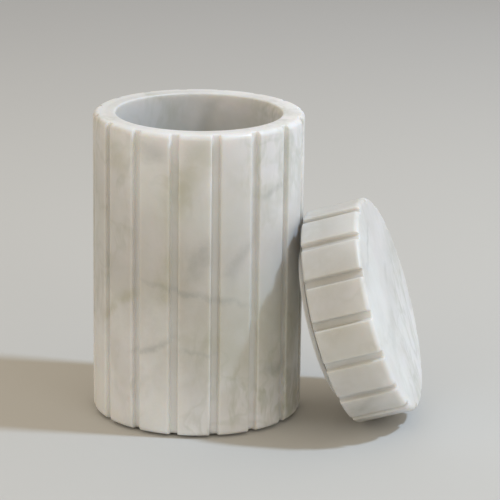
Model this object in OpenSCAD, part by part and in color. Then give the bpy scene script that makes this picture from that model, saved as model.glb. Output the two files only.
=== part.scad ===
// Fluted stone powder jar with its lid taken off and leaned against the side.
// Millimetres, +Z up. The origin is the centre of the jar's foot, on the surface it stands on.
// A rib faces -Y, and the lid leans on the +X side.

/* [Jar] */
// Diameter over the ribs
jar_diameter = 100; // [80:1:120]
// Height from the surface to the rim
jar_height = 145.9; // [125:0.1:240]
// Wall from the bore to the top of a rib
jar_wall = 10.6; // [8:0.1:16]
// Stone under the bore
jar_floor = 12; // [8:1:25]
// Fillet where the bore meets its floor
bore_fillet = 4; // [1:0.5:8]
// Rounding of the rim's outer edge
rim_round = 2; // [0.4:0.1:3]
// Rounding of the rim's inner edge
mouth_round = 0.9; // [0.3:0.1:2]
// Rounding of the jar's bottom edge
foot_round = 2; // [0.3:0.1:2]

/* [Flutes] */
// Grooves round the jar and round the lid
flute_count = 16; // [10:1:20]
// Width of a groove between its walls
groove_width = 4; // [3:0.1:7]
// Depth of a groove below the rib
groove_depth = 2.4; // [1:0.1:3]
// Rounding of a rib's long edges
rib_round = 1; // [0.3:0.1:1.5]
// Fillet along both sides of a groove's floor
groove_fillet = 1; // [0.2:0.1:1]

/* [Lid] */
// How far the lid's ribs stand out past the jar's
lid_overhang = 1.8; // [0:0.1:3]
// Thickness of the fluted disc
lid_thickness = 28.2; // [15:0.1:40]
// Rounding of the lid's top edge
lid_top_round = 2.2; // [0.4:0.1:3]
// Rounding of the lid's lower edge
lid_low_round = 1.1; // [0.3:0.1:2]
// Height of the spigot that drops into the bore
spigot_height = 5.2; // [4.5:0.1:9]
// Gap round the spigot in the bore
spigot_gap = 0.4; // [0.2:0.05:1]
// Rounding of the spigot's edge
spigot_round = 0.6; // [0.2:0.1:1]

/* [Seal] */
// Thickness of the silicone ring
seal_section = 2; // [1.4:0.1:2.4]
// How far the relaxed ring stands out past the bore's wall
seal_squash = 0.2; // [0.1:0.05:0.5]
// Stone between the lid's underside and the ring's groove
seal_drop = 0.7; // [0.5:0.1:1]

/* [Pads] */
// Diameter of a pad
pad_diameter = 12; // [8:0.5:16]
// How far a pad stands out of the stone
pad_stand = 1.2; // [0.4:0.1:2]
// Depth of a pad's seat in the stone
pad_seat = 1.2; // [0.8:0.1:2]
// Stone between the pads' seats and the jar's outside
pad_inset = 8; // [6:0.5:15]
// Gap round a pad in its seat
pad_gap = 0.2; // [0.1:0.05:0.5]

/* [Lean] */
// Angle of the lid from upright
lean_tilt = 17.4; // [10:0.1:30]
// Where round the jar the lid leans, from +X towards -Y
lean_turn = 9.2; // [0:0.1:90]
// Turn of the lid about its own axis
lid_spin = 0; // [-11:0.5:11]
// Gap left between the lid and the jar's wall
lean_gap = 0.15; // [0.1:0.05:1]

/* [Hidden] */
$fn = 96;
over = 1; // how far a cutter runs past the stone
pitch = 360 / flute_count;
pad_count = 4;
jar_r = jar_diameter / 2;
bore_r = jar_r - jar_wall;
lid_r = jar_r + lid_overhang;
spigot_r = bore_r - spigot_gap;
seal_bite = 0.2; // play above and below the ring in its groove
seal_outer_r = bore_r + seal_squash;
seal_centre_r = seal_outer_r - seal_section / 2;
seal_floor_r = seal_outer_r - seal_section;
seal_z = -(seal_drop + seal_bite + seal_section / 2);
pad_circle_r = jar_r - groove_depth - pad_inset - pad_diameter / 2;

// Where the leaning lid's underside is centred: its lowest edge is on the surface, and its
// spigot, seal or lower edge, whichever reaches furthest, is lean_gap from the jar's ribs.
lid_low_z = (lid_r - lid_low_round) * cos(lean_tilt) - lid_low_round * sin(lean_tilt) + lid_low_round;
spigot_reach = spigot_round + (spigot_height - spigot_round) * cos(lean_tilt)
             + (spigot_r - spigot_round) * sin(lean_tilt);
flange_reach = lid_low_round - lid_low_round * cos(lean_tilt) + (lid_r - lid_low_round) * sin(lean_tilt);
seal_reach = seal_section / 2 - seal_z * cos(lean_tilt) + seal_centre_r * sin(lean_tilt);
lid_out = jar_r + lean_gap + max(spigot_reach, seal_reach, flange_reach);

// A groove's outline, opening outwards along +X in a round bar of radius r
module groove_outline(r) {
    floor_r = r - groove_depth;
    half = groove_width / 2;
    corner = [sqrt(pow(r - rib_round, 2) - pow(half + rib_round, 2)), half + rib_round];
    lean = atan2(corner[1], corner[0]);
    difference() {
        translate([floor_r, -half])
            square([groove_depth + over, groove_width]);
        for (side = [-1, 1])
            translate([floor_r, side * half])
                difference() {
                    square(2 * groove_fillet, center = true);
                    translate([groove_fillet, -side * groove_fillet])
                        circle(groove_fillet);
                }
    }
    // what is taken off a rib's two long edges
    for (side = [-1, 1])
        difference() {
            polygon([
                [corner[0], side * corner[1]],
                [corner[0], side * half],
                [r + over, side * half],
                [(r + over) * cos(lean), side * (r + over) * sin(lean)]
            ]);
            translate([corner[0], side * corner[1]])
                circle(rib_round);
        }
}

// The ring of grooves, with a rib centred on -Y
module grooves(r, low, high) {
    for (i = [0:flute_count - 1])
        rotate(-90 + (i + 0.5) * pitch)
            translate([0, 0, low - over])
                linear_extrude(high - low + 2 * over)
                    groove_outline(r);
}

// Half outline of a round bar from low to high, its lower and upper outer edges rounded
module bar_outline(r, low, high, low_round, high_round = 0) {
    difference() {
        translate([0, low])
            square([r, high - low]);
        translate([r, low])
            edge_waste(low_round, 1);
        if (high_round > 0)
            translate([r, high])
                edge_waste(high_round, -1);
    }
}

// The corner that a rounding takes off, for an outer edge that faces down (1) or up (-1)
module edge_waste(round_r, way) {
    difference() {
        square(2 * round_r, center = true);
        translate([-round_r, way * round_r])
            circle(round_r);
    }
}

// A pad, or the seat for it when it is drawn wider
module pad_disc(i, gap = 0) {
    rotate((i - 0.5) * 360 / pad_count)
        translate([pad_circle_r, 0, 0])
            cylinder(h = pad_stand + pad_seat, r = pad_diameter / 2 + gap);
}

module jar_body() {
    color("#e6e4df")
    difference() {
        rotate_extrude()
            bar_outline(jar_r, pad_stand, jar_height, foot_round, rim_round);
        grooves(jar_r, pad_stand, jar_height);
        rotate_extrude()
            bar_outline(bore_r, pad_stand + jar_floor, jar_height + over, bore_fillet);
        // rounding of the rim's inner edge
        rotate_extrude()
            translate([bore_r, jar_height])
                difference() {
                    square(2 * mouth_round, center = true);
                    translate([mouth_round, -mouth_round])
                        circle(mouth_round);
                }
        for (i = [1:pad_count])
            pad_disc(i, pad_gap);
    }
}

// The lid stands in the closed pose here, with its underside at z = 0
module lid_stone() {
    difference() {
        union() {
            difference() {
                rotate_extrude()
                    bar_outline(lid_r, 0, lid_thickness, lid_low_round, lid_top_round);
                grooves(lid_r, 0, lid_thickness);
            }
            rotate_extrude()
                bar_outline(spigot_r, -spigot_height, over, spigot_round);
        }
        rotate_extrude()
            translate([seal_floor_r, seal_z - seal_section / 2 - seal_bite])
                square([spigot_r - seal_floor_r + over, seal_section + 2 * seal_bite]);
    }
}

// From the closed pose to where the lid leans on the jar
module leaning() {
    rotate(-lean_turn)
        translate([lid_out, 0, lid_low_z])
            rotate([0, 90 - lean_tilt, 0])
                rotate(lid_spin)
                    children();
}

module lid_body() {
    color("#ecebe8")
        leaning()
            lid_stone();
}

module lid_seal() {
    color("#f4f4f2")
        leaning()
            translate([0, 0, seal_z])
                rotate_extrude()
                    translate([seal_centre_r, 0])
                        circle(seal_section / 2);
}

module foot_pad(i) {
    color("#5a5752")
        pad_disc(i);
}

jar_body();
lid_body();
lid_seal();
foot_pad(1);  // foot_pad_1
foot_pad(2);  // foot_pad_2
foot_pad(3);  // foot_pad_3
foot_pad(4);  // foot_pad_4
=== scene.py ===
from math import atan2, cos, pi, radians, sin, sqrt

import bmesh
import bpy
from mathutils import Matrix, Vector


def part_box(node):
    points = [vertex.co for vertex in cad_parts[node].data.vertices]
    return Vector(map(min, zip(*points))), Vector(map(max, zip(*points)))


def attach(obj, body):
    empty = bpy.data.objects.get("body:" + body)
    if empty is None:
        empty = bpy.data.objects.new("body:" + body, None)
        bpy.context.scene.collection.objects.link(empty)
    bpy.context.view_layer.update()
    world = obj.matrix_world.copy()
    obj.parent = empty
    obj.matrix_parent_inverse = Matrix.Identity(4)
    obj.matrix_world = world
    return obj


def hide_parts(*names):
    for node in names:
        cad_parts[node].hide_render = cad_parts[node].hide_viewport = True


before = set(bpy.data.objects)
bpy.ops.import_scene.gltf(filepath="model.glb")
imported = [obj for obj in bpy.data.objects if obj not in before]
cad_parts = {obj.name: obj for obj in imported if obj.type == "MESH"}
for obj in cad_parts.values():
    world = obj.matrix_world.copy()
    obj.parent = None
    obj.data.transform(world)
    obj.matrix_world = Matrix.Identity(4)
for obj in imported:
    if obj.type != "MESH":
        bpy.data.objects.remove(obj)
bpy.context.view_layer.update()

print("frame loaded")

toMetres = 0.001  # the stone and its veins are given in millimetres
toMillimetres = 1000
noiseMiddle = 0.5


def addObject(name, data):
    made = bpy.data.objects.new(name, data)
    bpy.context.scene.collection.objects.link(made)
    return made


def newMaterial(name):
    material = bpy.data.materials.new(name)
    material.use_nodes = True
    return material, material.node_tree, material.node_tree.nodes["Principled BSDF"]


def feed(tree, socket, value):
    # a number or colour is set on the socket, and another node's output is linked to it
    if isinstance(value, bpy.types.NodeSocket):
        tree.links.new(value, socket)
    else:
        socket.default_value = value


def addNode(tree, kind, inputs=None, **settings):
    made = tree.nodes.new(kind)
    for key, value in settings.items():
        setattr(made, key, value)
    for key, value in (inputs or {}).items():
        feed(tree, made.inputs[key], value)
    return made


def math(tree, operation, a, b=0.0, c=0.0):
    return addNode(tree, "ShaderNodeMath", {0: a, 1: b, 2: c}, operation=operation).outputs[0]


def vectorMath(tree, operation, a, b=(0, 0, 0)):
    made = addNode(tree, "ShaderNodeVectorMath", {0: a, 1: b}, operation=operation)
    isNumber = operation in ("DOT_PRODUCT", "DISTANCE", "LENGTH")
    return made.outputs["Value" if isNumber else "Vector"]


def scaled(tree, vector, factor):
    made = addNode(tree, "ShaderNodeVectorMath", {0: vector, "Scale": factor}, operation="SCALE")
    return made.outputs["Vector"]


def noise(tree, vector, perMetre, detail, rough, output="Fac"):
    made = addNode(tree, "ShaderNodeTexNoise", {
        "Vector": vector, "Scale": perMetre, "Detail": detail, "Roughness": rough})
    return made.outputs[output]


def band(tree, value, low, high, toLow=0.0, toHigh=1.0):
    # a smooth step from low to high
    made = addNode(tree, "ShaderNodeMapRange", {
        "Value": value, "From Min": low, "From Max": high, "To Min": toLow, "To Max": toHigh,
    }, interpolation_type="SMOOTHSTEP")
    return made.outputs["Result"]


def ridge(tree, value, middle, half):
    # full at the middle value, fading to nothing at half away from it
    return band(tree, math(tree, "ABSOLUTE", math(tree, "SUBTRACT", value, middle)), half, 0.0)


def mixColour(tree, factor, a, b):
    made = addNode(tree, "ShaderNodeMix", data_type="RGBA")
    for number, value in ((0, factor), (6, a), (7, b)):  # the colour pair's own sockets
        feed(tree, made.inputs[number], value)
    return made.outputs[2]


def bump(tree, height, strength, distance, normal=None):
    inputs = {"Strength": strength, "Distance": distance, "Height": height}
    if normal is not None:
        inputs["Normal"] = normal
    return addNode(tree, "ShaderNodeBump", inputs).outputs["Normal"]


# Each noise has its scale per metre, its detail and its roughness. A band has the two values that
# it steps between, and a bump its strength and its distance in metres.
marbleLook = {
    "white": (0.865, 0.875, 0.872, 1.0),
    "blush": (0.862, 0.843, 0.858, 1.0),
    "cloud": (0.62, 0.63, 0.59, 1.0),
    # a broad darker tint, partly the stone's own tone and partly painted shade
    "dusk": (0.45, 0.425, 0.365, 1.0),
    "grey": (0.29, 0.31, 0.29, 1.0),
    "ochre": (0.45, 0.44, 0.285, 1.0),
    "grain": (0.68, 0.68, 0.67, 1.0),
    # the whiter colour of the painted light in the flutes and on the lip
    "fresh": (0.90, 0.90, 0.89, 1.0),
    "blushNoise": (24, 2, 0.5),
    "blushBand": (0.36, 0.64),
    "driftNoise": (16, 3, 0.5),
    "driftReach": 0.030,
    "cloudNoise": (24, 4, 0.60),
    "cloudBand": (0.44, 0.62),
    "cloudShare": 0.30,
    "streakTilt": -27,  # degrees
    "streakStretch": 0.26,
    "streakNoise": (60, 4, 0.62),
    "streakMiddle": 0.52,
    "streakHalf": 0.075,
    "streakShare": 0.52,
    "patchNoise": (19, 2, 0.5),
    "patchBand": (0.44, 0.64),
    "wispNoise": (40, 3, 0.55),
    "wispHalf": 0.05,
    "wispShare": 0.34,
    "wispPatchNoise": (17, 2, 0.5),
    "wispPatchBand": (0.42, 0.60),
    "stainNoise": (27, 3, 0.6),
    "stainBand": (0.48, 0.74),
    "stainShare": 0.16,
    "stainInStreaks": 0.30,
    "waveNoise": (34, 5, 0.55),
    "waveReach": 0.016,
    "raggedNoise": (95, 4, 0.62),
    "raggedReach": (0.0045, 0.0008),  # metres, and metres more for each millimetre of half
    "raggedBack": (0.0022, 0.0004),
    "veinSpread": 0.0022,  # metres for each millimetre of half
    "fullWithin": 0.0003,  # metres for each millimetre of reach
    "wideFrom": 12,
    "wideLeast": 0.85,
    "thinLeast": 0.45,
    "breakBand": (0.30, 0.62),
    # the flute floors and the lip flat are painted lighter: painted light
    "cut": 0.34,
    "cutFrom": (0.0435, 0.0450),  # distances out from the jar's axis
    "cutTo": (0.0494, 0.0482),
    "grainNoise": (1100, 2, 0.6),
    "grainBand": (0.3, 0.75, 0.0, 0.10),
    "grainRough": 0.06,
    "roughness": 0.36,
    "roughNoise": (90, 3, 0.6),
    "roughSpread": 0.16,
    "fineNoise": (520, 4, 0.65),
    "fineBump": (0.30, 0.00010),
    "slowNoise": (42, 2, 0.5),
    "slowBump": (0.5, 0.0005),
    "seep": 0.75,
    "seepRadius": (0.0050, 0.0042, 0.0034),
    "ior": 1.5,
}

# Each vein is a wavy sheet through the block: a point on it, the way it faces, roughly half its
# width and how far it runs, all in millimetres, then how dark it is and its tint. The widest are
# broad darker tints, partly the stone's own tone and partly painted shade.
jarVeins = [
    # a broad darker band round the middle of the body: partly the stone's tone, partly painted
    # shade
    {"at": (0, -20, 76), "faces": (0.10, 0.0, 0.99), "half": 34, "reach": 150,
     "depth": 0.46, "tint": "dusk"},
    # darkens the whole inside of the bore: painted shade
    {"at": (-24, 30, 104), "faces": (0.15, 0.0, 0.99), "half": 60, "reach": 82,
     "depth": 0.36, "tint": "grey"},
    # darkens the middle ribs at the front: painted shade where the lamp's light falls off
    {"at": (6, -49, 66), "faces": (0.96, 0.0, -0.20), "half": 14, "reach": 84,
     "depth": 0.34, "tint": "dusk"},
    # an ochre tint low on the right, where the lid's shadow falls on the jar: painted shadow
    # colour
    {"at": (38, -32, 46), "faces": (0.10, 0.0, 0.99), "half": 19, "reach": 62,
     "depth": 0.34, "tint": "ochre"},
    {"at": (0, -48, 70), "faces": (0.26, 0.05, 0.96), "half": 1.0, "reach": 34,
     "depth": 0.38, "tint": "grey"},
    {"at": (-35, -35, 61), "faces": (-0.55, 0.30, 0.78), "half": 2.0, "reach": 24,
     "depth": 0.40, "tint": "ochre"},
    {"at": (-20, -46, 44), "faces": (-0.48, 0.0, 0.88), "half": 1.1, "reach": 19,
     "depth": 0.32, "tint": "grey"},
    {"at": (1, -50, 42), "faces": (0.12, 0.0, 0.99), "half": 1.0, "reach": 15,
     "depth": 0.26, "tint": "grey"},
    {"at": (-3, -50, 124), "faces": (0.90, 0.0, -0.43), "half": 6.0, "reach": 34,
     "depth": 0.38, "tint": "ochre"},
    {"at": (2, -50, 86), "faces": (0.86, 0.0, -0.50), "half": 3.0, "reach": 16,
     "depth": 0.30, "tint": "grey"},
    {"at": (20, -46, 86), "faces": (0.90, 0.0, -0.43), "half": 2.2, "reach": 20,
     "depth": 0.30, "tint": "grey"},
    {"at": (-20, -46, 138), "faces": (0.30, 0.0, 0.95), "half": 4.0, "reach": 12,
     "depth": 0.30, "tint": "grey"},
    {"at": (-38, -32, 132), "faces": (0.60, 0.0, 0.80), "half": 5.0, "reach": 14,
     "depth": 0.32, "tint": "ochre"},
    {"at": (38, -33, 117), "faces": (-0.35, 0.0, 0.94), "half": 0.9, "reach": 14,
     "depth": 0.26, "tint": "grey"},
    {"at": (38, -32, 31), "faces": (-0.40, 0.1, 0.90), "half": 2.2, "reach": 11,
     "depth": 0.34, "tint": "grey"},
    {"at": (4, 39, 133), "faces": (0.84, 0.1, -0.52), "half": 2.6, "reach": 24,
     "depth": 0.17, "tint": "grey"},
    {"at": (-16, 36, 120), "faces": (0.92, 0.2, -0.30), "half": 3.5, "reach": 26,
     "depth": 0.11, "tint": "grey"},
    {"at": (24, 30, 120), "faces": (0.95, 0.0, -0.20), "half": 4.0, "reach": 26,
     "depth": 0.11, "tint": "ochre"},
    {"at": (-14, -48, 78), "faces": (0.97, 0.0, -0.20), "half": 3.0, "reach": 24,
     "depth": 0.32, "tint": "ochre"},
    {"at": (10, 46, 60), "faces": (0.50, 0.2, 0.84), "half": 1.4, "reach": 55,
     "depth": 0.30, "tint": "grey"},
    {"at": (48, 6, 88), "faces": (0.10, 0.6, 0.80), "half": 1.2, "reach": 40,
     "depth": 0.28, "tint": "grey"},
    {"at": (-46, 14, 70), "faces": (0.20, -0.7, 0.70), "half": 1.6, "reach": 48,
     "depth": 0.28, "tint": "grey"},
]

lidVeins = [
    # two broad darker zones in the lid: partly the stone's tone, partly painted shade
    {"at": (-31, -42, 13), "faces": (0.9, -0.6, 0.1), "half": 13, "reach": 30,
     "depth": 0.30, "tint": "dusk"},
    {"at": (0, 0, 9), "faces": (0.05, 0.0, 0.99), "half": 14, "reach": 160,
     "depth": 0.56, "tint": "dusk"},
    {"at": (-33, -16, 28), "faces": (0.93, 0.37, 0.05), "half": 1.0, "reach": 24,
     "depth": 0.36, "tint": "grey"},
    {"at": (-12, 8, 28), "faces": (0.80, 0.55, 0.10), "half": 2.0, "reach": 9,
     "depth": 0.30, "tint": "grey"},
    {"at": (9, -15, 28), "faces": (0.85, 0.50, 0.10), "half": 4.0, "reach": 20,
     "depth": 0.20, "tint": "grey"},
    {"at": (-8, 14, 28), "faces": (0.75, 0.65, 0.10), "half": 6.0, "reach": 30,
     "depth": 0.10, "tint": "grey"},
    {"at": (-6, -50, 12), "faces": (0.96, 0.0, 0.28), "half": 5.0, "reach": 16,
     "depth": 0.12, "tint": "ochre"},
    {"at": (34, -36, 10), "faces": (0.80, 0.2, 0.55), "half": 2.2, "reach": 12,
     "depth": 0.26, "tint": "grey"},
    {"at": (40, -30, 22), "faces": (0.70, 0.0, -0.70), "half": 2.0, "reach": 9,
     "depth": 0.24, "tint": "ochre"},
    {"at": (0, 45, 14), "faces": (0.60, 0.1, 0.80), "half": 1.2, "reach": 40,
     "depth": 0.28, "tint": "grey"},
]


def addVein(tree, colour, place, wave, ragged, vein, placeVeins, look):
    at = placeVeins @ Vector(vein["at"]) * toMetres
    faces = (placeVeins.to_3x3() @ Vector(vein["faces"])).normalized()
    half, reach, depth = vein["half"], vein["reach"], vein["depth"]

    # how far a point is from the sheet, once that is bent and made ragged
    raggedReach, raggedBack = [
        least + half * more for least, more in (look["raggedReach"], look["raggedBack"])]
    away = math(tree, "SUBTRACT", vectorMath(tree, "DOT_PRODUCT", place, faces), at.dot(faces))
    away = math(tree, "MULTIPLY_ADD", wave, look["waveReach"], away)
    away = math(tree, "SUBTRACT", away, raggedBack)
    away = math(tree, "MULTIPLY_ADD", ragged, raggedReach, away)
    line = band(tree, math(tree, "ABSOLUTE", away), half * look["veinSpread"], 0.0)

    # it fades at its ends, and thins where it is ragged
    far = vectorMath(tree, "DISTANCE", place, at)
    fade = band(tree, far, reach * toMetres, reach * look["fullWithin"])
    least = depth * look["wideLeast" if half > look["wideFrom"] else "thinLeast"]
    fade = math(tree, "MULTIPLY", fade, band(tree, ragged, *look["breakBand"], least, depth))
    return mixColour(tree, math(tree, "MULTIPLY", line, fade), colour, look[vein["tint"]])


def marble(name, veins, shift, placeVeins=Matrix(), look=marbleLook):
    material, tree, shader = newMaterial(name)
    place = addNode(tree, "ShaderNodeTexCoord").outputs["Object"]
    shifted = addNode(tree, "ShaderNodeMapping", {
        "Vector": place, "Location": shift}).outputs["Vector"]

    # slow bends that the clouds, streaks and wisps follow
    drift = noise(tree, shifted, *look["driftNoise"], output="Color")
    drift = vectorMath(tree, "SUBTRACT", drift, (noiseMiddle, noiseMiddle, noiseMiddle))
    bent = vectorMath(tree, "ADD", shifted, scaled(tree, drift, look["driftReach"]))
    clouds = band(tree, noise(tree, bent, *look["cloudNoise"]), *look["cloudBand"])

    # slanting smoky streaks that come and go
    slant = addNode(tree, "ShaderNodeMapping", {
        "Vector": bent,
        "Rotation": (0, radians(look["streakTilt"]), 0),
        "Scale": (1.0, 1.0, look["streakStretch"]),
    }).outputs["Vector"]
    smoke = noise(tree, slant, *look["streakNoise"])
    streaks = ridge(tree, smoke, look["streakMiddle"], look["streakHalf"])
    patches = band(tree, noise(tree, shifted, *look["patchNoise"]), *look["patchBand"])
    streaks = math(tree, "MULTIPLY", streaks, patches)

    # thin wisps, also in patches
    wisps = ridge(tree, noise(tree, bent, *look["wispNoise"]), noiseMiddle, look["wispHalf"])
    patches = band(tree, noise(tree, bent, *look["wispPatchNoise"]), *look["wispPatchBand"])
    wisps = math(tree, "MULTIPLY", wisps, patches)

    haze = math(tree, "MULTIPLY", clouds, look["cloudShare"])
    haze = math(tree, "MULTIPLY_ADD", streaks, look["streakShare"], haze)
    haze = math(tree, "MULTIPLY_ADD", wisps, look["wispShare"], haze)
    blush = band(tree, noise(tree, shifted, *look["blushNoise"]), *look["blushBand"])
    colour = mixColour(tree, blush, look["white"], look["blush"])
    colour = mixColour(tree, haze, colour, look["cloud"])

    # a warm stain, stronger in the streaks
    stain = band(tree, noise(tree, shifted, *look["stainNoise"]), *look["stainBand"])
    share = math(tree, "MULTIPLY_ADD", streaks, look["stainInStreaks"], look["stainShare"])
    colour = mixColour(tree, math(tree, "MULTIPLY", stain, share), colour, look["ochre"])

    waves = addNode(tree, "ShaderNodeSeparateColor", {
        "Color": noise(tree, shifted, *look["waveNoise"], output="Color")}).outputs
    ragged = noise(tree, shifted, *look["raggedNoise"])
    for number, vein in enumerate(veins):
        wave = math(tree, "SUBTRACT", waves[number % 3], noiseMiddle)
        colour = addVein(tree, colour, place, wave, ragged, vein, placeVeins, look)

    # the floors of the flutes and the flat of the lip are painted a little whiter: painted light
    # in the flutes' hollows and on the lip
    if look["cutFrom"]:
        out = vectorMath(tree, "LENGTH", vectorMath(tree, "MULTIPLY", place, (1, 1, 0)))
        cut = math(tree, "MULTIPLY", band(tree, out, *look["cutFrom"]),
                   band(tree, out, *look["cutTo"]))
        colour = mixColour(tree, math(tree, "MULTIPLY", cut, look["cut"]), colour, look["fresh"])

    # sugary grain, which is also a little rougher
    grain = noise(tree, place, *look["grainNoise"])
    colour = mixColour(tree, band(tree, grain, *look["grainBand"]), colour, look["grain"])
    rough = math(tree, "MULTIPLY_ADD", noise(tree, place, *look["roughNoise"]),
                 look["roughSpread"], look["roughness"] - look["roughSpread"] / 2)
    rough = math(tree, "MULTIPLY_ADD", grain, look["grainRough"], rough)

    # the honed face is very slightly uneven
    normal = bump(tree, noise(tree, place, *look["fineNoise"]), *look["fineBump"])
    normal = bump(tree, noise(tree, place, *look["slowNoise"]), *look["slowBump"], normal)
    for socket, value in {
        "Base Color": colour,
        "Roughness": rough,
        "Normal": normal,
        "Subsurface Weight": look["seep"],
        "Subsurface Radius": look["seepRadius"],
        "Subsurface Scale": 1.0,
        "IOR": look["ior"],
    }.items():
        feed(tree, shader.inputs[socket], value)
    return material


lidShape = {
    "radius": 51.8,
    "thickness": 28.2,
    "topEase": 2.4,
    "topSteps": 8,
    "lowEase": 1.2,
    "lowSteps": 5,
    "grooveEase": 0.6,
    "spigotRadius": 39.0,
    "spigotHeight": 5.2,
    "spigotRound": 0.6,
    "spigotSteps": 4,
    "sealTop": 0.7,
    "sealLow": 3.1,
    "sealFloor": 37.6,
    "leanTilt": 17.4,  # degrees
    "leanTurn": 9.2,
    "leanOut": 66.6226,  # the middle of its underside while it leans, as in the frame
    "lowZ": 49.151,
}


def leaning(shape=lidShape):
    return (Matrix.Rotation(radians(-shape["leanTurn"]), 4, "Z")
            @ Matrix.Translation((shape["leanOut"], 0, shape["lowZ"]))
            @ Matrix.Rotation(radians(90 - shape["leanTilt"]), 4, "Y"))


jarMarble = marble("jarMarble", jarVeins, (0.0, 0.0, 0.0))
lidMarble = marble("lidMarble", lidVeins, (0.31, 0.17, 0.05), leaning(),
                   {**marbleLook, "cutFrom": None})
print("marble mixed")


rubberLook = {
    "dustNoise": (160, 4, 0.6),
    "dustBand": (0.35, 0.75),
    "roughNoise": (420, 3, 0.6),
    "roughSpread": 0.18,
    "bumpNoise": (1500, 3, 0.6),
    "bump": (0.4, 0.0001),
    "seepRadius": (0.002, 0.002, 0.002),
}

sealLook = {
    **rubberLook,
    "colour": (0.78, 0.78, 0.76, 1),
    "dust": (0.66, 0.65, 0.62, 1),
    "roughness": 0.42,
    "seep": 0.4,
}

padLook = {
    **rubberLook,
    "colour": (0.075, 0.072, 0.068, 1),
    "dust": (0.12, 0.115, 0.105, 1),
    "roughness": 0.72,
    "seep": 0.0,
}


def softRubber(name, look):
    material, tree, shader = newMaterial(name)
    place = addNode(tree, "ShaderNodeTexCoord").outputs["Object"]
    dust = band(tree, noise(tree, place, *look["dustNoise"]), *look["dustBand"])
    rough = math(tree, "MULTIPLY_ADD", noise(tree, place, *look["roughNoise"]),
                 look["roughSpread"], look["roughness"] - look["roughSpread"] / 2)
    for socket, value in {
        "Base Color": mixColour(tree, dust, look["colour"], look["dust"]),
        "Roughness": rough,
        "Normal": bump(tree, noise(tree, place, *look["bumpNoise"]), *look["bump"]),
        "Subsurface Weight": look["seep"],
        "Subsurface Radius": look["seepRadius"],
        "Subsurface Scale": 1.0,
    }.items():
        feed(tree, shader.inputs[socket], value)
    return material


sealRubber = softRubber("milkySilicone", sealLook)
padRubber = softRubber("padRubber", padLook)
for name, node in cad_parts.items():
    isSeal = name == "lid_seal"
    if isSeal or name.startswith("foot_pad"):
        for slot in node.material_slots:
            slot.material = sealRubber if isSeal else padRubber


# the stone is shaped in millimetres and scaled down at the end
fluting = {
    "grooves": 16,
    "stepsPerPitch": 25,  # short straight edges round one rib and one groove
    "ribSteps": 20,
    "depth": 2.4,
    "ribRound": 1.25,
    "innerRound": 1.1,
    "roundSteps": 5,
    "cornerAngle": 45,  # degrees, and anything blunter is left alone
    "wallFrom": 5,  # an edge that rises more than this is a wall's
}

meshing = {
    "circleSteps": 240,
    "mergeWithin": 0.002,
    "sharpFrom": 32,  # degrees
}


def onlyVerts(geom):
    return [item for item in geom if isinstance(item, bmesh.types.BMVert)]


def wallEdges(bm, flutes=fluting):
    return [e for e in bm.edges
            if abs(e.verts[0].co.z - e.verts[1].co.z) > flutes["wallFrom"]]


def bevelEdges(bm, edges, width, segments):
    bmesh.ops.bevel(bm, geom=edges, offset=width, offset_type="OFFSET", segments=segments,
                    profile=0.5, affect="EDGES", clamp_overlap=False, material=-1)


def flutedBar(bm, radius, low, high, flutes=fluting):
    # a round bar whose outline has grooves; a rib is centred on the front
    steps = flutes["grooves"] * flutes["stepsPerPitch"]
    pitch = 2 * pi / flutes["grooves"]
    bmesh.ops.create_circle(bm, segments=steps, radius=radius,
                            matrix=Matrix.Translation((0, 0, low)))
    halfRib = flutes["ribSteps"] / flutes["stepsPerPitch"] / 2
    grooves = {}
    for edge in bm.edges:
        middle = (edge.verts[0].co + edge.verts[1].co) / 2
        turn = atan2(middle.x, -middle.y) / pitch % flutes["grooves"]
        if halfRib < turn % 1 < 1 - halfRib:
            grooves.setdefault(int(turn), []).append(edge)
    for edges in grooves.values():
        ends = [v for e in edges for v in e.verts]
        middle = sum((v.co for v in ends), Vector()) / len(edges) / 2
        inwards = -Vector((middle.x, middle.y, 0)).normalized() * flutes["depth"]
        between = {v for v in ends if ends.count(v) == 2}
        moved = bmesh.ops.extrude_edge_only(bm, edges=edges)["geom"]
        bmesh.ops.translate(bm, vec=inwards, verts=onlyVerts(moved))
        bmesh.ops.delete(bm, geom=list(between), context="VERTS")
    bottom = bmesh.ops.contextual_create(bm, geom=bm.edges[:])["faces"]
    top = bmesh.ops.extrude_face_region(bm, geom=bottom)["geom"]
    bmesh.ops.translate(bm, vec=(0, 0, high - low), verts=onlyVerts(top))
    bmesh.ops.recalc_face_normals(bm, faces=bm.faces[:])

    # the grooves' outer and inner corners
    sharp = radians(flutes["cornerAngle"])
    corners = [e for e in wallEdges(bm) if e.calc_face_angle(0) > sharp]
    outer = [e for e in corners if e.verts[0].co.xy.length > radius - flutes["depth"] / 2]
    inner = [e for e in corners if e not in set(outer)]
    bevelEdges(bm, inner, flutes["innerRound"], flutes["roundSteps"])
    bevelEdges(bm, outer, flutes["ribRound"], flutes["roundSteps"])


def easeEnd(bm, end, up, ribEase, floorEase, steps, radius, flutes=fluting):
    # rounds one end: the ribs by ribEase and the groove floors by floorEase, blending between
    levels = [ribEase * (1 - sin(pi / 2 * step / steps)) for step in range(steps)]
    for level in levels:
        bmesh.ops.bisect_plane(bm, geom=bm.verts[:] + bm.edges[:] + bm.faces[:],
                               plane_co=(0, 0, end - up * level), plane_no=(0, 0, 1))
    for vert in bm.verts:
        down = (end - vert.co.z) * up
        reach = vert.co.xy.length
        share = (reach - radius + flutes["depth"]) / flutes["depth"]
        ease = floorEase + (ribEase - floorEase) * min(max(share, 0), 1)
        if down < ease:
            inwards = ease - sqrt(max(ease * ease - (ease - max(down, 0)) ** 2, 0))
            vert.co.xy *= (reach - inwards) / reach


def openEnd(bm, up):
    # takes off the flat face at the top or the bottom, and gives its outline
    flat = [f for f in bm.faces if f.normal.z * up > 0.999]  # all but level
    face = max(flat, key=lambda f: f.calc_center_median().z * up)
    outline = face.edges[:]
    bmesh.ops.delete(bm, geom=[face], context="FACES_ONLY")
    return outline


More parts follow.
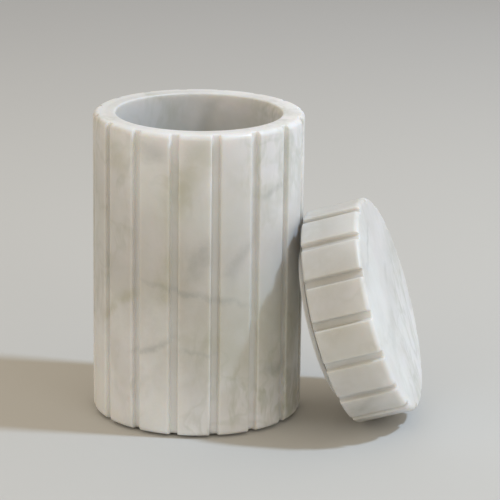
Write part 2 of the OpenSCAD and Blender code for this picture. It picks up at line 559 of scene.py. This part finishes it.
def loopStep(bm, edges, radius, height):
    # carries a round edge loop on to another radius and height
    moved = bmesh.ops.extrude_edge_only(bm, edges=edges)["geom"]
    verts = onlyVerts(moved)
    factor = radius / verts[0].co.xy.length
    bmesh.ops.scale(bm, vec=(factor, factor, 1), verts=verts)
    bmesh.ops.translate(bm, vec=(0, 0, height - verts[0].co.z), verts=verts)
    ends = set(verts)
    return [e for e in moved
            if isinstance(e, bmesh.types.BMEdge) and e.verts[0] in ends and e.verts[1] in ends]


def roundLoop(bm, radius, height):
    made = set(bmesh.ops.create_circle(bm, segments=meshing["circleSteps"], radius=radius,
                                       matrix=Matrix.Translation((0, 0, height)))["verts"])
    return [e for e in bm.edges if e.verts[0] in made]


def fillBetween(bm, outerEdges, innerEdges):
    bmesh.ops.triangle_fill(bm, use_beauty=True, edges=outerEdges + innerEdges)
    bmesh.ops.recalc_face_normals(bm, faces=bm.faces[:])


def stonePiece(bm, name, material, place=Matrix()):
    bmesh.ops.remove_doubles(bm, verts=bm.verts[:], dist=meshing["mergeWithin"])
    bmesh.ops.recalc_face_normals(bm, faces=bm.faces[:])
    bmesh.ops.transform(bm, matrix=Matrix.Scale(toMetres, 4) @ place, verts=bm.verts[:])
    mesh = bpy.data.meshes.new(name)
    bm.to_mesh(mesh)
    bm.free()
    mesh.shade_smooth()
    mesh.set_sharp_from_angle(angle=radians(meshing["sharpFrom"]))
    mesh.materials.append(material)
    piece = addObject(name, mesh)
    weighted = piece.modifiers.new("evenShading", "WEIGHTED_NORMAL")
    weighted.keep_sharp = True
    return piece


jarShape = {
    "boreRadius": 39.4,
    "boreFloor": 13.2,
    "boreFillet": 4.0,
    "boreSteps": 8,
    "mouthRound": 0.9,
    "mouthSteps": 5,
    "rimEase": 2.5,
    "rimSteps": 8,
    "grooveEase": 0.5,
    "footEase": 2.0,
    "footSteps": 4,
}


def makeJar(shape=jarShape):
    low, high = [Vector(corner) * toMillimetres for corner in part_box("jar_body")]
    bm = bmesh.new()
    radius = (high[0] - low[0]) / 2
    flutedBar(bm, radius, low[2], high[2])
    easeEnd(bm, high[2], 1, shape["rimEase"], shape["grooveEase"], shape["rimSteps"], radius)
    easeEnd(bm, low[2], -1, shape["footEase"], shape["footEase"], shape["footSteps"], radius)
    outline = openEnd(bm, 1)

    # the bore, from a narrow flat ring round its mouth down to a filleted floor
    start = roundLoop(bm, shape["boreRadius"] + 2 * shape["mouthRound"], high[2])
    mouth = loopStep(bm, start, shape["boreRadius"], high[2])
    floorLoop = loopStep(bm, mouth, shape["boreRadius"], shape["boreFloor"])
    bmesh.ops.contextual_create(bm, geom=floorLoop)
    fillBetween(bm, outline, start)
    bevelEdges(bm, floorLoop, shape["boreFillet"], shape["boreSteps"])
    bevelEdges(bm, mouth, shape["mouthRound"], shape["mouthSteps"])
    piece = stonePiece(bm, "fluted_jar", jarMarble)
    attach(piece, "jar")
    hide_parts("jar_body")


makeJar()
print("jar turned and fluted")


def makeLid(shape=lidShape):
    radius, spigot = shape["radius"], shape["spigotRadius"]
    bm = bmesh.new()
    flutedBar(bm, radius, 0, shape["thickness"])
    easeEnd(bm, shape["thickness"], 1, shape["topEase"], shape["grooveEase"], shape["topSteps"],
            radius)
    easeEnd(bm, 0, -1, shape["lowEase"], shape["grooveEase"], shape["lowSteps"], radius)
    outline = openEnd(bm, -1)

    # the spigot under the lid, with its groove for the seal
    start = roundLoop(bm, spigot, 0)
    rim = start
    for reach, below in (
        (spigot, shape["sealTop"]),
        (shape["sealFloor"], shape["sealTop"]),
        (shape["sealFloor"], shape["sealLow"]),
        (spigot, shape["sealLow"]),
        (spigot, shape["spigotHeight"]),
    ):
        rim = loopStep(bm, rim, reach, -below)
    bmesh.ops.contextual_create(bm, geom=rim)
    fillBetween(bm, outline, start)
    bevelEdges(bm, rim, shape["spigotRound"], shape["spigotSteps"])
    piece = stonePiece(bm, "fluted_lid", lidMarble, leaning(shape))
    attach(piece, "lid")
    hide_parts("lid_body")


makeLid()
print("lid turned and leaning")


floorLook = {
    "halfSize": 7.0,
    "colour": (0.62, 0.61, 0.585, 1),
    "mottle": (0.605, 0.597, 0.572, 1),
    "mottleNoise": (3, 4, 0.6),
    # the floor is painted darker towards the back: painted shade for the light falling off
    "backColour": (0.462, 0.468, 0.478, 1),
    "backBand": (0.25, 1.35),  # metres behind the jar
    "roughness": 0.85,
    "specular": 0.2,
}


def makeFloor(look=floorLook):
    bm = bmesh.new()
    bmesh.ops.create_grid(bm, x_segments=2, y_segments=2, size=look["halfSize"])
    mesh = bpy.data.meshes.new("studio_floor")
    bm.to_mesh(mesh)
    bm.free()
    material, tree, shader = newMaterial("floorPaint")
    place = addNode(tree, "ShaderNodeTexCoord").outputs["Object"]
    mottle = noise(tree, place, *look["mottleNoise"])
    paint = mixColour(tree, mottle, look["colour"], look["mottle"])
    depth = addNode(tree, "ShaderNodeSeparateXYZ", {"Vector": place}).outputs["Y"]
    # darker towards the back: painted shade for the light falling off
    paint = mixColour(tree, band(tree, depth, *look["backBand"]), paint, look["backColour"])
    feed(tree, shader.inputs["Base Color"], paint)
    feed(tree, shader.inputs["Roughness"], look["roughness"])
    feed(tree, shader.inputs["Specular IOR Level"], look["specular"])
    mesh.materials.append(material)
    floor = addObject("studio_floor", mesh)


makeFloor()


# turns are degrees round from the front towards the right, and heights are degrees up
lightLook = {
    "lampTurn": 81.8,
    "lampHeight": 54.0,
    "lampDistance": 2.4,
    "lampRadius": 0.105,
    "lampCone": 70,
    "lampBlend": 0.6,
    "lampPower": 101.0,
    "lampColour": (0.787, 1.0, 1.28),
    "fillTurn": 36.0,
    "fillHeight": 20.0,
    "fillDistance": 1.7,
    "fillSize": 0.9,
    "fillPower": 2.6,
    "fillColour": (0.94, 1.0, 1.04),
    "leftTurn": -60.0,
    "leftHeight": 26.0,
    "leftDistance": 1.8,
    "leftSize": 1.1,
    "leftPower": 1.9,
    "leftColour": (1.0, 0.92, 0.82),
    "worldColour": (1.0, 0.885, 0.72, 1),
    "worldStrength": 0.615,
}


def placeLight(data, look):
    turn, height = [radians(look[data.name + word]) for word in ("Turn", "Height")]
    towards = Vector((sin(turn) * cos(height), -cos(turn) * cos(height), sin(height)))
    light = addObject(data.name, data)
    light.location = towards * look[data.name + "Distance"]
    light.rotation_euler = towards.to_track_quat("Z", "Y").to_euler()
    data.energy = look[data.name + "Power"]
    data.color = look[data.name + "Colour"]


def makeLight(look=lightLook):
    lamp = bpy.data.lights.new("lamp", "SPOT")
    lamp.shadow_soft_size = look["lampRadius"]
    lamp.spot_size = radians(look["lampCone"])
    lamp.spot_blend = look["lampBlend"]
    placeLight(lamp, look)
    for name in ("fill", "left"):
        soft = bpy.data.lights.new(name, "AREA")
        soft.shape = "DISK"
        soft.size = look[name + "Size"]
        placeLight(soft, look)

    world = bpy.data.worlds.new("studio")
    world.use_nodes = True
    glow = world.node_tree.nodes["Background"]
    glow.inputs["Color"].default_value = look["worldColour"]
    glow.inputs["Strength"].default_value = look["worldStrength"]
    bpy.context.scene.world = world


makeLight()
bpy.context.scene.view_settings.view_transform = "Standard"


cameraLook = {
    "back": 1.2352,  # metres
    "up": 0.4308,
    "turn": 1.82,  # degrees round the object
    "yaw": 0.0201,  # radians, as are down and roll
    "down": 0.2781,
    "roll": 0.01305,
    "lens": 193.46,  # millimetres
    "sensor": 36,
    "clip": (0.05, 50),
}


def makeCamera(look=cameraLook):
    data = bpy.data.cameras.new("camera")
    data.lens = look["lens"]
    data.sensor_width = look["sensor"]
    data.clip_start, data.clip_end = look["clip"]
    camera = addObject("camera", data)
    camera.matrix_world = (Matrix.Rotation(radians(look["turn"]), 4, "Z")
                           @ Matrix.Translation((0, -look["back"], look["up"]))
                           @ Matrix.Rotation(-look["yaw"], 4, "Z")
                           @ Matrix.Rotation(pi / 2 - look["down"], 4, "X")
                           @ Matrix.Rotation(look["roll"], 4, "Z"))
    bpy.context.scene.camera = camera


makeCamera()
print("light and camera set")
